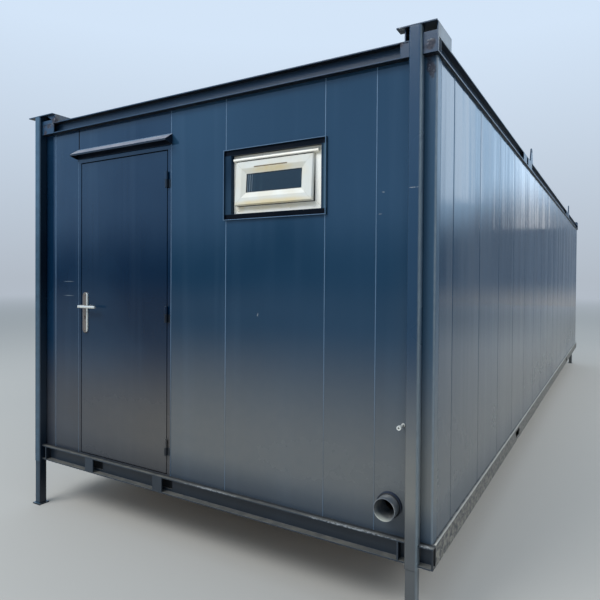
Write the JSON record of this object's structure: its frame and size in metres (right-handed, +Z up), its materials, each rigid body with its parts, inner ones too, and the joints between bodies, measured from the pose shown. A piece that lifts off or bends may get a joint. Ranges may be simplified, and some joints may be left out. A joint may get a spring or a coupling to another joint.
{
  "type": "portable site cabin",
  "caption": "long flat-roofed steel site cabin on telescopic corner legs, with a steel door and a small high window in one end wall",
  "frame": {"origin": "on the ground, in the middle under the cabin", "axes": "+X across the width, to the right as the door end is faced; +Y along the length, away from the door end; +Z up"},
  "size_m": [3.048, 9.818, 2.9279],
  "materials": {
    "frame_paint": "slate blue paint over steel sections, dusty and scuffed low down",
    "wall_paint": "dark slate blue gloss paint on flat steel panels",
    "roof_steel": "weathered grey box-profile steel",
    "joist_steel": "galvanised sheet",
    "deck_board": "plywood floor deck",
    "ceiling_board": "white faced board",
    "handle_metal": "satin anodised",
    "white_plastic": "white window plastic, slightly yellowed",
    "window_glass": "obscured glass",
    "pipe_plastic": "dark grey soil pipe",
    "overflow_plastic": "pale grey pipe"
  },
  "bodies": {
    "cabin": {"front_bottom_channel": "frame_paint", "rear_bottom_channel": "frame_paint", "left_bottom_channel": "frame_paint", "right_bottom_channel": "frame_paint", "corner_posts": "frame_paint", "front_top_channel": "frame_paint", "rear_top_channel": "frame_paint", "left_top_channel": "frame_paint", "right_top_channel": "frame_paint", "rain_hood": "frame_paint", "window_trim": "frame_paint", "lifting_lugs": "frame_paint", "front_wall_left": "wall_paint", "front_wall_over_door": "wall_paint", "front_wall_right": "wall_paint", "rear_wall": "wall_paint", "left_wall": "wall_paint", "right_wall": "wall_paint", "door_frame": "wall_paint", "frame_hinges": "wall_paint", "floor_joists": "joist_steel", "roof_purlins": "joist_steel", "floor_deck": "deck_board", "roof_sheet": "roof_steel", "ceiling_board": "ceiling_board", "window_frame": "white_plastic", "window_sash": "white_plastic", "window_glass": "window_glass", "soil_pipe": "pipe_plastic", "overflow_pipe": "overflow_plastic", "jack_sleeve_front_left": "frame_paint", "jack_sleeve_front_right": "frame_paint", "jack_sleeve_rear_left": "frame_paint", "jack_sleeve_rear_right": "frame_paint", "stacking_caps": "frame_paint"},
    "door": {"door_leaf": "wall_paint", "leaf_hinges": "wall_paint", "handle_plates": "handle_metal"},
    "lever": {"door_lever": "handle_metal"},
    "front_left_leg": {"jack_leg_front_left": "frame_paint"},
    "front_right_leg": {"jack_leg_front_right": "frame_paint"},
    "rear_left_leg": {"jack_leg_rear_left": "frame_paint"},
    "rear_right_leg": {"jack_leg_rear_right": "frame_paint"}
  },
  "joints": [
    {"name": "door_hinge", "type": "hinge", "parent": "cabin", "child": "door", "pos_m": [-0.1795, -4.8495, 1.442], "axis": [0, 0, 1], "range_deg": [0, 160]},
    {"name": "lever_turn", "type": "hinge", "parent": "door", "child": "lever", "pos_m": [-0.951, -4.84, 1.468], "axis": [0, 1, 0], "range_deg": [0, 45], "stiffness_Nm_per_rad": 2, "springref_deg": -20.05},
    {"name": "front_left_leg_slide", "type": "slide", "parent": "cabin", "child": "front_left_leg", "axis": [0, 0, -1], "range_m": [-0.3, 0.6]},
    {"name": "front_right_leg_slide", "type": "slide", "parent": "cabin", "child": "front_right_leg", "axis": [0, 0, -1], "range_m": [-0.3, 0.6]},
    {"name": "rear_left_leg_slide", "type": "slide", "parent": "cabin", "child": "rear_left_leg", "axis": [0, 0, -1], "range_m": [-0.3, 0.6]},
    {"name": "rear_right_leg_slide", "type": "slide", "parent": "cabin", "child": "rear_right_leg", "axis": [0, 0, -1], "range_m": [-0.3, 0.6]}
  ]
}
